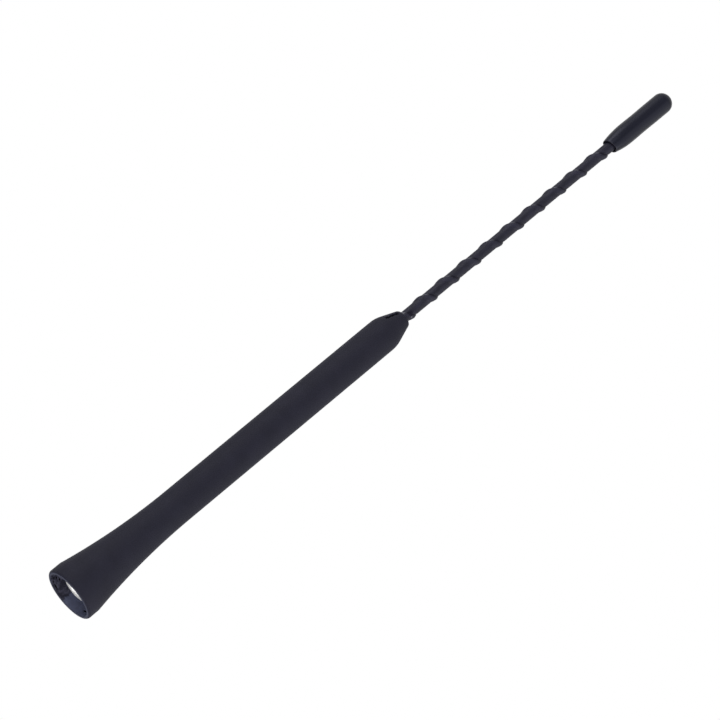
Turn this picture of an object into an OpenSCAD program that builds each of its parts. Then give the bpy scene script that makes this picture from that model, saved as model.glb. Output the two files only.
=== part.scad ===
// Short car mast aerial with a screw-in foot. It stands upright on its mouth rim:
// the origin is the centre of the rim plane and +Z runs along the mast to the tip.
// A moulded sheath with a flared mouth holds a metal ferrule, a glass-fibre rod and
// the loading coil. Above the sheath the rod carries a coarse wire helix, and the tube
// that is shrunk over it shows the wire as a ridge. A moulded cap closes the tip.

/* [Mast] */
// Height of the whole aerial, from the mouth rim to the tip of the cap
mast_l = 280; // [230:1:400]

/* [Sheath] */
// Length of the moulded sheath, from the mouth rim to the nose
sheath_l = 147.9; // [135:0.1:175]
// Diameter of the straight shank
shank_d = 11.7; // [10.8:0.1:14]
// Diameter of the mouth rim
base_d = 18.8; // [17.5:0.1:24]
// Height of the short straight band above the rim
land_h = 4.5; // [2:0.1:8]
// Height at which the flare has run out into the shank
flare_l = 46; // [30:1:80]
// Radius of the rim's outer edge
rim_round = 0.9; // [0.3:0.1:0.9]
// Radius of the rim's inner edge
lip_round = 0.1; // [0.05:0.05:0.15]
// Wall of the mouth at the rim
rim_wall = 1.2; // [1.15:0.05:2]
// Depth of the cup in the mouth
cup_depth = 5.5; // [4:0.1:6.5]
// Draft of the cup's wall, in degrees
cup_draft = 3; // [0.5:0.5:6]
// Radius between the cup's wall and its floor
cup_round = 0.6; // [0.2:0.1:1]
// Slope of the cone that ends the shank, in degrees from the axis
cone_angle = 19.1; // [15:0.1:35]
// Radius that blends the shank into the cone
shoulder_r = 12; // [4:0.5:20]
// Wall of the nose beside the crest of the whip's ridge
nose_wall = 0.65; // [0.3:0.01:0.9]
// Radius of the nose's edge
nose_round = 1.1; // [0.3:0.1:1.2]
// Height of the middle of the split in the cone
nick_z = 143.8; // [143:0.1:145]
// Length of the split in the cone
nick_l = 5.4; // [2:0.1:6]
// Width of the split in the cone
nick_w = 0.7; // [0.3:0.05:0.8]
// Direction that the split faces, in degrees from +X
nick_turn = 223; // [0:1:359]

/* [Ferrule] */
// Depth of the ferrule's face below the mouth rim
face_depth = 2.8; // [2.4:0.1:4]
// Size of the hexagon across its flats
hex_af = 10; // [9.5:0.1:12]
// Height of the hexagon
hex_h = 4; // [3:0.1:5]
// Direction of one corner of the hexagon, in degrees from +X
hex_turn = 46; // [0:1:59]
// Diameter of the barrel that the sheath is moulded round
barrel_d = 8.4; // [8:0.1:9]
// Length of the barrel
barrel_l = 17; // [16:0.5:24]
// Number of holding grooves round the barrel
groove_n = 3; // [1:1:4]
// Width of one holding groove
groove_w = 1.6; // [0.8:0.1:1.8]
// Depth of one holding groove
groove_depth = 0.6; // [0.3:0.1:0.9]
// Diameter of the neck that grips the rod
neck_d = 6.4; // [6:0.1:7]
// Length of the neck
neck_l = 8; // [7:0.5:10]
// Number of crimps round the neck
crimp_n = 2; // [1:1:3]
// Depth of one crimp
crimp_depth = 0.2; // [0.1:0.05:0.4]
// Width of one crimp
crimp_w = 1; // [0.6:0.1:1.2]
// Thread diameter of the foot's screw
thread_d = 6; // [5:0.5:6]
// Diameter of the drilled hole that the thread is cut in
tap_d = 5; // [4.2:0.1:5.2]
// Depth of the threaded hole
hole_depth = 13; // [10:0.5:13.5]
// Depth of the rod's socket
socket_depth = 12; // [9:0.5:12.5]

/* [Rod and coil] */
// Diameter of the glass-fibre rod
rod_d = 3; // [2.6:0.1:3.4]
// Height of the coil former's lower end
coil_z = 100; // [60:1:101]
// Number of turns of the loading coil
coil_turns = 40; // [10:1:45]
// Diameter of the coil former between its flanges
former_d = 6.6; // [5.6:0.1:6.8]
// Diameter of the former's flanges
flange_d = 7.6; // [7.5:0.1:8]
// Thickness of one flange
flange_w = 1.2; // [0.8:0.1:1.6]
// Wall of the tube shrunk over the coil
tube_wall = 0.35; // [0.2:0.05:0.5]
// Length over which that tube narrows from one size to the next
tube_taper = 3; // [2:0.5:4]
// Length of the whip's sleeve that the tube laps over
tube_lap = 6; // [3:0.5:7]

/* [Whip] */
// Diameter of the wire
wire_d = 0.4; // [0.3:0.05:0.5]
// Rise of the wire in one turn round the rod
ridge_pitch = 10.5; // [8:0.1:14]
// Height at which the ridge faces +X
ridge_z = 150.75; // [146:0.05:156]
// Wall of the sleeve shrunk over the wire
sleeve_wall = 0.33; // [0.25:0.01:0.45]
// Share of the sleeve's radius that its ridge is rounded with
ridge_fullness = 0.85; // [0.5:0.01:0.9]

/* [Cap] */
// Length of the cap
cap_l = 31; // [26:0.5:45]
// Largest diameter of the cap
cap_d = 7.3; // [6.6:0.1:9]
// Wall of the cap at its mouth
cap_lip = 0.37; // [0.3:0.01:0.6]
// Radius of the cap's mouth edge
cap_lip_round = 0.15; // [0.05:0.01:0.2]
// Length over which the cap swells from its mouth to full size
cap_swell_l = 9; // [7:0.5:11]
// Length of the shallow waist round the cap
cap_waist_l = 13; // [6:0.5:15]
// Depth of that waist
cap_waist = 0.06; // [0:0.01:0.3]
// Solid length of the cap beyond its bore
cap_end = 6.5; // [4.5:0.5:8]
// Room between the crest of the ridge and the cap's bore
cap_gap = 0.07; // [0.03:0.01:0.15]
// Room between the end of the rod and the end of the cap's bore
rod_end_gap = 3; // [1:0.5:5]
// Length of bare rod beyond the sleeve
rod_bare = 5; // [3:0.5:8]
// Length of sleeve beyond the end of the wire
sleeve_over = 1.5; // [1:0.5:3]

/* [Fits] */
// Room left round a piece that is slipped or shrunk on
slip = 0.02; // [0.01:0.01:0.05]
// Room left round a piece that the sheath is moulded over
mould_gap = 0.02; // [0.01:0.01:0.05]

/* [Hidden] */
$fn = 64;
// Length by which a cut runs past the face that it opens
cut = 1;
// Flat steps in one turn of a helix, and points round its sections
turn_steps = 14;
sleeve_points = 16;
bore_points = 10;
wire_points = 6;
arc_steps = 12;
hex_sides = 6;
scallop_steps = 4;
step_h = ridge_pitch / turn_steps;
// Angle of the drill's point, slope of the hexagon's chamfer and share of its face inside that chamfer
drill_angle = 118;
chamfer_angle = 30;
chamfer_share = 0.95;
// Spacing of the coil's turns in wire diameters, and room beside a wire in its notch
turn_spacing = 1.02;
notch_room = 0.1;
// Height of the solder and room between it and the edges of the neck's end
solder_h = 0.9;
solder_room = 0.1;
// Direction in which the coil's lower tail runs
tail_turn = 180;

shank_r = shank_d / 2;
base_r = base_d / 2;
barrel_r = barrel_d / 2;
neck_r = neck_d / 2;
rod_r = rod_d / 2;
wire_r = wire_d / 2;
former_r = former_d / 2;
flange_r = flange_d / 2;
cap_r = cap_d / 2;
tap_r = tap_d / 2;

// Heights of the ferrule
barrel_z = face_depth + hex_h;
neck_z = barrel_z + barrel_l;
neck_top = neck_z + neck_l;
socket_z = neck_top - socket_depth;
drill_point = tap_r / tan(drill_angle / 2);
chamfer_r = chamfer_share * hex_af / 2;

// A helix is drawn in flat steps, so its corners stand this far off the rod
lift = (rod_r + slip) * (1 / cos(180 / turn_steps) - 1);
wire_c = rod_r + slip + lift + wire_r;
helix_slope = atan(ridge_pitch / (2 * PI * wire_c));
sleeve_bore = rod_r + slip + lift;
sleeve_bore_crest = wire_c + wire_r + slip;
sleeve_r = sleeve_bore + sleeve_wall;
crest_r = sleeve_bore_crest + sleeve_wall;
nose_r = crest_r + nose_wall;

// Coil and its tails
coil_pitch = wire_d * turn_spacing;
coil_c = former_r + slip + wire_r;
coil_start = coil_z + flange_w + slip;
coil_end = coil_start + coil_turns * coil_pitch;
former_top = coil_end + slip + flange_w;
tail_c = (rod_r + neck_r) / 2;
tail_elbow = coil_z - wire_d;
notch_w = wire_d + 2 * notch_room;
solder_foot = (neck_r - rod_r) / 2 - solder_room;
winding_z = ceil((former_top + wire_d + 2 * slip) / step_h) * step_h;
head_elbow = winding_z - wire_r - slip;

// Tube over the coil
tube_z = neck_z + neck_l / 3;
tube_shoulder = winding_z + wire_r;
sleeve_z = ceil((tube_shoulder + tube_taper) / step_h) * step_h;
tube_top = sleeve_z + tube_lap;

// Top of the mast
bore_end = mast_l - cap_end;
rod_top = bore_end - rod_end_gap;
sleeve_steps = floor((rod_top - rod_bare - sleeve_z) / step_h);
sleeve_top = sleeve_z + sleeve_steps * step_h;
winding_steps = floor((sleeve_top - sleeve_over - winding_z) / step_h);
cap_z = mast_l - cap_l;
cap_bore = crest_r + cap_gap;
cap_mouth_r = cap_bore + cap_lip;

// Sheath outline
flare_r = ((flare_l - land_h) ^ 2 + (base_r - shank_r) ^ 2) / (2 * (base_r - shank_r));
cone_z = sheath_l - (shank_r - nose_r) / tan(cone_angle);
shoulder_z = cone_z - shoulder_r * tan(cone_angle / 2);
nose_c = nose_r - nose_round * tan((90 - cone_angle) / 2);
cup_mouth_r = base_r - rim_wall;
cup_floor_r = cup_mouth_r - cup_depth * tan(cup_draft);
nick_r = nose_r + (sheath_l - nick_z) * tan(cone_angle);

// Direction of the ridge at a height, in degrees from +X; it climbs as a right-hand screw
function ridge_turn(z) = 360 * (z - ridge_z) / ridge_pitch;

// Points of an arc in the half plane that is revolved
function arc(c, r, from, to) =
    [for (i = [0 : arc_steps]) let (a = from + (to - from) * i / arc_steps) c + r * [cos(a), sin(a)]];

// Outer outline of the sheath, from the rim to the nose
function sheath_line() = concat(
    [[0, 0]],
    arc([base_r - rim_round, rim_round], rim_round, -90, 0),
    arc([shank_r + flare_r, flare_l], flare_r, 180 + asin((flare_l - land_h) / flare_r), 180),
    arc([shank_r - shoulder_r, shoulder_z], shoulder_r, 0, cone_angle),
    arc([nose_c, sheath_l - nose_round], nose_round, cone_angle, 90),
    [[0, sheath_l]]);

// Outline of the cup in the mouth
function cup_line() = concat(
    [[0, -cut], [cup_mouth_r + lip_round, -cut]],
    arc([cup_mouth_r + lip_round, lip_round], lip_round, 270, 180),
    arc([cup_floor_r - cup_round, cup_depth - cup_round], cup_round, 0, 90),
    [[0, cup_depth]]);

// Barrel and neck of the ferrule, with their grooves, grown by a fit
function groove(r, z, w, depth) = [[r, z], [r - depth, z], [r - depth, z + w], [r, z + w]];
function grooved(r, z, l, n, w, depth) =
    [for (i = [0 : n - 1]) for (p = groove(r, z + (i + 0.5) * l / n - w / 2, w, depth)) p];
function ferrule_line(fit) = concat(
    [[0, barrel_z - cut], [barrel_r + fit, barrel_z - cut]],
    grooved(barrel_r + fit, barrel_z, barrel_l, groove_n, groove_w, groove_depth),
    [[barrel_r + fit, neck_z], [neck_r + fit, neck_z]],
    grooved(neck_r + fit, neck_z, neck_l, crimp_n, crimp_w, crimp_depth),
    [[neck_r + fit, neck_top], [0, neck_top]]);

// Line that the tube over the coil follows, at a distance from what it covers
function tube_line(off) = [
    [neck_r + off, tube_z],
    [neck_r + off, neck_top + solder_h],
    [tail_c + wire_r + off, neck_top + solder_h + tube_taper],
    [tail_c + wire_r + off, tail_elbow - wire_r - tube_taper],
    [flange_r + off, tail_elbow - wire_r],
    [flange_r + off, tube_shoulder],
    [crest_r + off, sleeve_z],
    [crest_r + off, tube_top]];

// Outline of the cap outside, from its mouth to the tip
swell_r = (cap_swell_l ^ 2 + (cap_r - cap_mouth_r) ^ 2) / (2 * (cap_r - cap_mouth_r));
swell_a = asin(cap_swell_l / swell_r);
swell_start = swell_a * (1 - cap_lip_round / cap_swell_l);
function cap_line() = concat(
    [[0, cap_z], [cap_mouth_r - cap_lip_round, cap_z]],
    arc([cap_r - swell_r, cap_z + cap_swell_l], swell_r, -swell_start, 0),
    [for (i = [1 : arc_steps - 1])
        [cap_r - cap_waist / 2 * (1 - cos(360 * i / arc_steps)),
         cap_z + cap_swell_l + cap_waist_l * i / arc_steps]],
    arc([0, mast_l - cap_r], cap_r, 0, 90));

// Round section with one bulge on +X
module cam(base, crest, points) {
    bulge = base * ridge_fullness;
    hull() {
        circle(r = base, $fn = points);
        translate([crest - bulge, 0]) circle(r = bulge, $fn = points);
    }
}

// Stretch of the whip's helix, from a height up through a number of flat steps
module helix(z, steps) {
    translate([0, 0, z]) rotate([0, 0, ridge_turn(z)])
        linear_extrude(height = steps * step_h, twist = -360 * steps / turn_steps, slices = steps, $fn = 0)
            children();
}

// Outside of the ferrule, grown by a fit
module ferrule_form(fit) {
    intersection() {
        translate([0, 0, face_depth]) rotate([0, 0, hex_turn])
            cylinder(d = (hex_af + 2 * fit) / cos(180 / hex_sides), h = hex_h, $fn = hex_sides);
        translate([0, 0, face_depth])
            cylinder(r1 = chamfer_r, r2 = chamfer_r + hex_h / tan(chamfer_angle), h = hex_h);
    }
    rotate_extrude() polygon(ferrule_line(fit));
}

// Piece of wire between two points
module wire(a, b) {
    v = b - a;
    translate(a) rotate([0, acos(v.z / norm(v)), atan2(v.y, v.x)]) cylinder(d = wire_d, h = norm(v));
    translate(b) sphere(d = wire_d);
}

// Split in the cone beside the nose, a round-bottomed groove along the slope
module nick() {
    rotate([0, 0, nick_turn]) translate([nick_r, 0, nick_z]) rotate([0, -cone_angle, 0]) {
        translate([0, 0, nick_w / 2 - nick_l / 2]) {
            cylinder(d = nick_w, h = nick_l - nick_w);
            sphere(d = nick_w);
        }
        translate([0, 0, nick_l / 2 - nick_w / 2]) sphere(d = nick_w);
    }
}

module mast_sheath() color([0.16, 0.16, 0.19]) difference() {
    rotate_extrude() polygon(sheath_line());
    rotate_extrude() polygon(cup_line());
    rotate([0, 0, hex_turn])
        cylinder(d = (hex_af + 2 * mould_gap) / cos(180 / hex_sides), h = barrel_z, $fn = hex_sides);
    rotate_extrude() polygon(ferrule_line(mould_gap));
    rotate_extrude()
        polygon(concat([[0, tube_z]], tube_line(slip + tube_wall + mould_gap), [[0, tube_top]]));
    helix(tube_top - step_h, ceil((sheath_l - tube_top) / step_h) + 2)
        cam(sleeve_r + mould_gap, crest_r + mould_gap, sleeve_points);
    nick();
}

module threaded_ferrule() color([0.82, 0.81, 0.78]) difference() {
    ferrule_form(0);
    translate([0, 0, face_depth - cut]) cylinder(r = tap_r, h = hole_depth + cut);
    translate([0, 0, face_depth + hole_depth]) cylinder(r1 = tap_r, r2 = 0, h = drill_point);
    translate([0, 0, face_depth]) cylinder(r1 = thread_d / 2, r2 = tap_r, h = thread_d / 2 - tap_r);
    translate([0, 0, socket_z]) cylinder(r = rod_r + slip, h = socket_depth + cut);
}

module core_rod() color([0.86, 0.84, 0.74])
    translate([0, 0, socket_z]) cylinder(r = rod_r, h = rod_top - socket_z);

module coil_former() color([0.75, 0.75, 0.7]) difference() {
    union() {
        translate([0, 0, coil_z]) cylinder(r = former_r, h = former_top - coil_z);
        translate([0, 0, coil_z]) cylinder(r = flange_r, h = flange_w);
        translate([0, 0, former_top - flange_w]) cylinder(r = flange_r, h = flange_w);
    }
    translate([0, 0, coil_z - cut]) cylinder(r = rod_r + slip, h = former_top - coil_z + 2 * cut);
    rotate([0, 0, tail_turn]) translate([former_r, -notch_w / 2, coil_z - cut])
        cube([flange_r, notch_w, flange_w + cut]);
    rotate([0, 0, ridge_turn(winding_z)]) translate([former_r, -notch_w / 2, former_top - flange_w])
        cube([flange_r, notch_w, flange_w + cut]);
}

module loading_coil() color([0.72, 0.36, 0.16]) {
    rotate_extrude() polygon(concat(
        [[former_r + slip, coil_start]],
        [for (i = [0 : coil_turns - 1]) for (k = [0 : scallop_steps - 1])
            let (a = 90 - 180 * (k + 0.5) / scallop_steps)
            [coil_c + wire_r * cos(a), coil_start + (i + 0.5) * coil_pitch - wire_r * sin(a)]],
        [[former_r + slip, coil_end]]));
    rotate([0, 0, tail_turn]) {
        wire([tail_c, 0, neck_top + slip], [tail_c, 0, tail_elbow]);
        wire([tail_c, 0, tail_elbow], [coil_c, 0, tail_elbow]);
        wire([coil_c, 0, tail_elbow], [coil_c, 0, coil_start + wire_d]);
    }
    rotate([0, 0, ridge_turn(winding_z)]) {
        wire([coil_c, 0, coil_end - wire_d], [coil_c, 0, head_elbow]);
        wire([coil_c, 0, head_elbow], [wire_c, 0, head_elbow]);
    }
}

module solder_joint() color([0.7, 0.71, 0.73]) rotate([0, 0, tail_turn]) difference() {
    translate([tail_c, 0, neck_top]) cylinder(r1 = solder_foot, r2 = wire_d, h = solder_h);
    translate([tail_c, 0, neck_top - cut]) cylinder(r = wire_r + slip, h = solder_h + 2 * cut);
}

module coil_tube() color([0.1, 0.1, 0.1]) rotate_extrude() {
    outside = tube_line(slip + tube_wall);
    polygon(concat(tube_line(slip), [for (i = [len(outside) - 1 : -1 : 0]) outside[i]]));
}

module whip_winding() color([0.76, 0.4, 0.2])
    helix(winding_z, winding_steps)
        translate([wire_c, 0]) scale([1, 1 / sin(helix_slope)]) circle(r = wire_r, $fn = wire_points);

module whip_sleeve() color([0.2, 0.2, 0.23])
    helix(sleeve_z, sleeve_steps) difference() {
        cam(sleeve_r, crest_r, sleeve_points);
        cam(sleeve_bore / cos(180 / bore_points), sleeve_bore_crest, bore_points);
    }

module tip_cap() color([0.12, 0.12, 0.15]) difference() {
    rotate_extrude() polygon(cap_line());
    translate([0, 0, cap_z - cut]) cylinder(r = cap_bore, h = bore_end - cap_z + cut);
    translate([0, 0, cap_z]) cylinder(r1 = cap_bore + cap_lip_round, r2 = cap_bore, h = cap_lip_round);
}

module tip_adhesive() color([0.8, 0.78, 0.6]) difference() {
    translate([0, 0, sleeve_top + slip])
        cylinder(r = cap_bore - slip, h = bore_end - sleeve_top - 2 * slip);
    translate([0, 0, sleeve_top + slip - cut])
        cylinder(r = rod_r + slip, h = rod_top - sleeve_top + cut);
}

mast_sheath();
threaded_ferrule();
core_rod();
coil_former();
loading_coil();
solder_joint();
coil_tube();
whip_winding();
whip_sleeve();
tip_cap();
tip_adhesive();
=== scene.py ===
"""Looks of the short car mast aerial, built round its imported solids."""

import math

import bpy
import numpy as np
from bpy.props import FloatProperty, FloatVectorProperty, IntProperty, PointerProperty
from mathutils import Matrix, Vector


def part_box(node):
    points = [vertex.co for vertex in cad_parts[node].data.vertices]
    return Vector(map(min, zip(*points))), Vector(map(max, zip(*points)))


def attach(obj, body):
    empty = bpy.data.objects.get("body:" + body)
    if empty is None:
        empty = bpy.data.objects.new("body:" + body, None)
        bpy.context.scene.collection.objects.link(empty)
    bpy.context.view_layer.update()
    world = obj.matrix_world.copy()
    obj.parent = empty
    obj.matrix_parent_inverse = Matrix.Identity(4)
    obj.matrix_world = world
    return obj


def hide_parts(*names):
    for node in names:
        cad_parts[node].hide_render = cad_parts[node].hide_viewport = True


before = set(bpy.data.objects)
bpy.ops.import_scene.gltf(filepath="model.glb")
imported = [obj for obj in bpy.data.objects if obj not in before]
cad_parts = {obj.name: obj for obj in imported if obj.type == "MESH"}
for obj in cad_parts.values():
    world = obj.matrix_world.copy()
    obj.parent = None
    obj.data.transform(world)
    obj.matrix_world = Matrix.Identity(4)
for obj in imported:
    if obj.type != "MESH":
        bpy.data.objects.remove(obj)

bl_info = {
    "name": "Car Mast Aerial",
    "version": (1, 0, 0),
    "blender": (4, 5, 0),
    "location": "View3D > Sidebar > Aerial",
    "description": "Builds the visible pieces and finishes of a short car mast aerial",
    "category": "Add Mesh",
}

MM = 0.001
TURN = 2 * math.pi
CAP_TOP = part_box("tip_cap")[1].z
CAP_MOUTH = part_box("tip_cap")[0].z
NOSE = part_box("mast_sheath")[1].z
SLEEVE_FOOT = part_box("whip_sleeve")[0].z
SLEEVE_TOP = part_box("whip_sleeve")[1].z
NECK_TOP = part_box("threaded_ferrule")[1].z
WINDING_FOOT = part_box("whip_winding")[0].z
WINDING_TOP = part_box("whip_winding")[1].z


def length(name, description, value):
    """A length that is given in millimetres and kept in metres."""
    return FloatProperty(name=name, description=description, default=value * MM, unit="LENGTH", precision=6)


def heading(name, description, value):
    """A direction round the mast that is given in degrees from +X."""
    return FloatProperty(name=name, description=description, default=math.radians(value), subtype="ANGLE")


def tint(name, description, value):
    """A base colour."""
    return FloatVectorProperty(name=name, description=description, default=value, subtype="COLOR",
                               min=0.0, max=1.0)


class AERIAL_PG_sheath(bpy.types.PropertyGroup):
    """Sizes of the moulded sheath"""
    base_radius: length("Rim Radius", "Outer radius of the mouth rim", 9.4)
    shank_radius: length("Shank Radius", "Radius of the straight shank", 5.85)
    land: length("Rim Band", "Height of the straight band above the rim", 4.5)
    flare: length("Flare Height", "Height at which the flare has run out", 46)
    rim_round: length("Rim Edge", "Radius of the rim's outer edge", 0.9)
    lip_round: length("Lip Edge", "Radius of the rim's inner edge", 0.1)
    cup_mouth: length("Cup Radius", "Radius of the cup at the rim", 8.2)
    cup_floor: length("Cup Floor Radius", "Radius of the cup at its floor", 7.912)
    cup_depth: length("Cup Depth", "Depth of the cup", 5.5)
    cup_round: length("Cup Corner", "Radius between the cup's wall and floor", 0.6)
    shoulder: length("Shoulder Radius", "Radius that blends the shank into the cone", 12)
    cone: heading("Cone Slope", "Slope of the cone from the axis", 19.1)
    nose_radius: length("Nose Radius", "Radius where the cone meets the nose plane", 2.959)
    nose_round: length("Nose Edge", "Radius of the nose's edge", 1.1)
    split_height: length("Split Height", "Height of the middle of the split in the cone", 143.8)
    split_length: length("Split Length", "Length of the split", 5.7)
    split_width: length("Split Width", "Widest part of the split", 1.2)
    split_depth: length("Split Depth", "Depth of the split", 0.75)
    split_turn: heading("Split Direction", "Direction that the split faces", 226.5)
    flap: length("Flap Length", "Length of the torn flap of the nose that lies on the whip", 0.7)
    flap_turn: heading("Flap Direction", "Direction that the flap faces", 240)
    columns: IntProperty(name="Columns", description="Points round the sheath", default=232, min=64)


class AERIAL_PG_ferrule(bpy.types.PropertyGroup):
    """Sizes of the threaded ferrule"""
    face: length("Face Height", "Height of the hexagon's face above the rim plane", 3.1)
    flats: length("Across Flats", "Size of the hexagon across its flats", 10)
    hex_height: length("Hexagon Height", "Height of the hexagon", 4)
    hex_turn: heading("Corner Direction", "Direction of one corner of the hexagon", 46)
    chamfer: length("Chamfer Radius", "Radius at which the hexagon's chamfer starts", 4.6)
    barrel: length("Barrel Radius", "Radius of the barrel in the sheath", 4.2)
    barrel_length: length("Barrel Length", "Length of the barrel", 17)
    groove: length("Groove Depth", "Depth of the barrel's holding grooves", 0.6)
    groove_width: length("Groove Width", "Width of one holding groove", 1.6)
    neck: length("Neck Radius", "Radius of the neck that grips the rod", 3.2)
    crimp: length("Crimp Depth", "Depth of the neck's crimps", 0.2)
    crimp_width: length("Crimp Width", "Width of one crimp", 1)
    thread_crest: length("Thread Bore", "Radius inside the thread's crests", 2.5)
    thread_root: length("Thread Root", "Radius at the thread's roots", 3)
    thread_pitch: length("Thread Pitch", "Rise of the thread in one turn", 1)
    hole_depth: length("Hole Depth", "Depth of the threaded hole", 13)
    socket: length("Socket Radius", "Radius of the rod's socket", 1.52)
    socket_depth: length("Socket Depth", "Depth of the rod's socket", 12)
    columns: IntProperty(name="Columns", description="Points round the ferrule", default=180, min=60)


class AERIAL_PG_whip(bpy.types.PropertyGroup):
    """Sizes of the ridged whip and its wires"""
    base_radius: length("Sleeve Radius", "Radius of the sleeve between its ridges", 1.875)
    bulge_radius: length("Ridge Roundness", "Radius that the ridge is rounded with", 1.606)
    bulge_reach: length("Ridge Reach", "Distance of that radius's centre from the axis", 0.7)
    lean: heading("Ridge Lean", "How far the ridge's crest leans towards the tip", 15)
    blend: length("Ridge Blend", "Softness of the crease beside the ridge", 0.05)
    crease: length("Crease Depth", "How far the sleeve is drawn in beside the ridge, on its tip side", 0.1)
    wall: length("Sleeve Wall", "Wall of the shrunk sleeve", 0.27)
    pitch: length("Pitch", "Rise of the ridge in one turn", 10.5)
    ridge_height: length("Ridge Height", "Height at which the ridge faces +X", 150.75)
    unevenness: length("Unevenness", "Unevenness of the shrunk sleeve", 0.035)
    wire_radius: length("Wire Radius", "Radius of the wire", 0.2)
    wire_centre: length("Winding Radius", "Radius of the wire's centreline round the rod", 1.759)
    coil_centre: length("Coil Radius", "Radius of the loading coil's centreline", 3.52)
    coil_foot: length("Coil Height", "Height at which the coil's turns start", 101.22)
    coil_pitch: length("Coil Pitch", "Rise of the coil in one turn", 0.408)
    coil_turns: IntProperty(name="Coil Turns", description="Turns of the loading coil", default=40, min=1)
    tail_radius: length("Tail Radius", "Distance of the lower tail from the axis", 2.35)
    tail_elbow: length("Tail Elbow", "Height at which the lower tail turns out", 99.6)
    seed: IntProperty(name="Seed", description="Seed of the sleeve's unevenness", default=7)


class AERIAL_PG_cap(bpy.types.PropertyGroup):
    """Sizes of the tip cap"""
    radius: length("Cap Radius", "Largest radius of the cap", 3.65)
    mouth: length("Mouth Radius", "Outer radius of the cap's mouth", 2.749)
    bore: length("Bore Radius", "Radius of the cap's bore", 2.379)
    lip: length("Lip Edge", "Radius of the mouth's edge", 0.15)
    swell: length("Swell Length", "Length over which the cap swells", 9)
    waist_length: length("Waist Length", "Length of the shallow waist", 13)
    waist: length("Waist Depth", "Depth of the waist", 0.06)
    end: length("Solid End", "Solid length beyond the bore", 6.5)
    skew: length("Mouth Skew", "How much further up the mouth ends on the side of +X", 1.0)


class AERIAL_PG_finishes(bpy.types.PropertyGroup):
    """Base colours of the finishes"""
    rubber: tint("Sheath Rubber", "Moulded rubber of the sheath", (0.0136, 0.0134, 0.0226))
    # Painted light on one side of the cup
    bloom: tint("Cup Painted Light", "Painted light on one side of the cup", (0.1, 0.11, 0.175))
    sleeve: tint("Sleeve Plastic", "Shrunk plastic of the whip", (0.0142, 0.0138, 0.0245))
    cap: tint("Cap Plastic", "Moulded plastic of the cap", (0.003, 0.0034, 0.0085))
    nickel: tint("Nickel Plate", "Plated metal of the ferrule", (0.9, 0.895, 0.88))
    copper: tint("Enamelled Copper", "Enamelled wire", (0.45, 0.16, 0.06))
    glass: tint("Glass Fibre", "Resin-bound rod", (0.66, 0.6, 0.4))
    nylon: tint("Former Plastic", "Moulded coil former", (0.5, 0.48, 0.42))
    tube: tint("Tube Plastic", "Tube shrunk over the coil", (0.012, 0.012, 0.014))
    solder: tint("Solder", "Solder on the neck", (0.5, 0.51, 0.53))
    adhesive: tint("Adhesive", "Cured adhesive in the cap", (0.6, 0.56, 0.35))
    # Painted shade on the other side of the cup, in mottled patches
    grime: tint("Cup Painted Shade", "Painted shade on the other side of the cup", (0.1, 0.098, 0.145))
    # Rim colour: wear and painted light on the rim face
    ring: tint("Rim Wear And Light", "Rubbed rubber of the rim with painted light", (0.055, 0.06, 0.085))
    # Pale colour of the torn flap at the nose
    fleck: tint("Flap Fleck", "Pale colour of the torn flap", (0.16, 0.16, 0.18))
    split: tint("Split", "Shade inside the split", (0.001, 0.001, 0.0012))
    # Painted shade in the crease beside the ridge
    crease: tint("Crease Painted Shade", "Painted shade in the crease beside the ridge", (0.0018, 0.001, 0.008))
    # Painted highlight beside the ridge, on one side of the mast
    dust: tint("Crease Highlight", "Painted highlight beside the ridge", (0.14, 0.14, 0.17))
    # Painted highlight on the sleeve beside the nose
    nose_highlight: tint("Nose Highlight", "Painted highlight beside the nose", (0.13, 0.13, 0.15))
    # Painted light on the edge of the cap's mouth
    mouth_light: tint("Cap Mouth Light", "Painted light on the edge of the cap's mouth", (0.011, 0.0105, 0.016))


class AERIAL_PG_stage(bpy.types.PropertyGroup):
    """Camera, floor and light"""
    lens: FloatProperty(name="Focal Length", description="Focal length of the camera, in millimetres",
                        default=150.0)
    distance: length("Distance", "Distance of the rim's centre from the camera plane", 919.5)
    tilt: heading("Tilt", "Lean of the mast away from the camera", 24.55)
    slant: heading("Slant", "Slant of the mast across the picture", 39.72)
    rim_x: FloatProperty(name="Rim Across", description="Rim centre right of the picture's centre, in pixels",
                         default=-291.7)
    rim_y: FloatProperty(name="Rim Up", description="Rim centre above the picture's centre, in pixels",
                         default=-235.8)
    floor_height: length("Floor Height", "Height of the floor", -900)
    sky: FloatProperty(name="Surrounding Light", description="Strength of the light from all round",
                       default=0.35)


class AERIAL_PG_aerial(bpy.types.PropertyGroup):
    """All sizes and colours of the aerial"""
    sheath: PointerProperty(type=AERIAL_PG_sheath)
    ferrule: PointerProperty(type=AERIAL_PG_ferrule)
    whip: PointerProperty(type=AERIAL_PG_whip)
    cap: PointerProperty(type=AERIAL_PG_cap)
    finishes: PointerProperty(type=AERIAL_PG_finishes)
    stage: PointerProperty(type=AERIAL_PG_stage)


# Outlines and turned meshes

def arc(centre_r, centre_z, radius, start, stop, steps=12):
    """Points of an arc in the half plane that is turned, angles in radians."""
    return [(centre_r + radius * math.cos(a), centre_z + radius * math.sin(a))
            for a in np.linspace(start, stop, steps + 1)]


def fine(line, step):
    """The same line with no stretch longer than a step."""
    points = [line[0]]
    for (r0, z0), (r1, z1) in zip(line, line[1:]):
        parts = max(1, math.ceil(math.hypot(r1 - r0, z1 - z0) / step - 1e-9))
        points += [(r0 + (r1 - r0) * i / parts, z0 + (z1 - z0) * i / parts) for i in range(1, parts + 1)]
    return points


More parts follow.
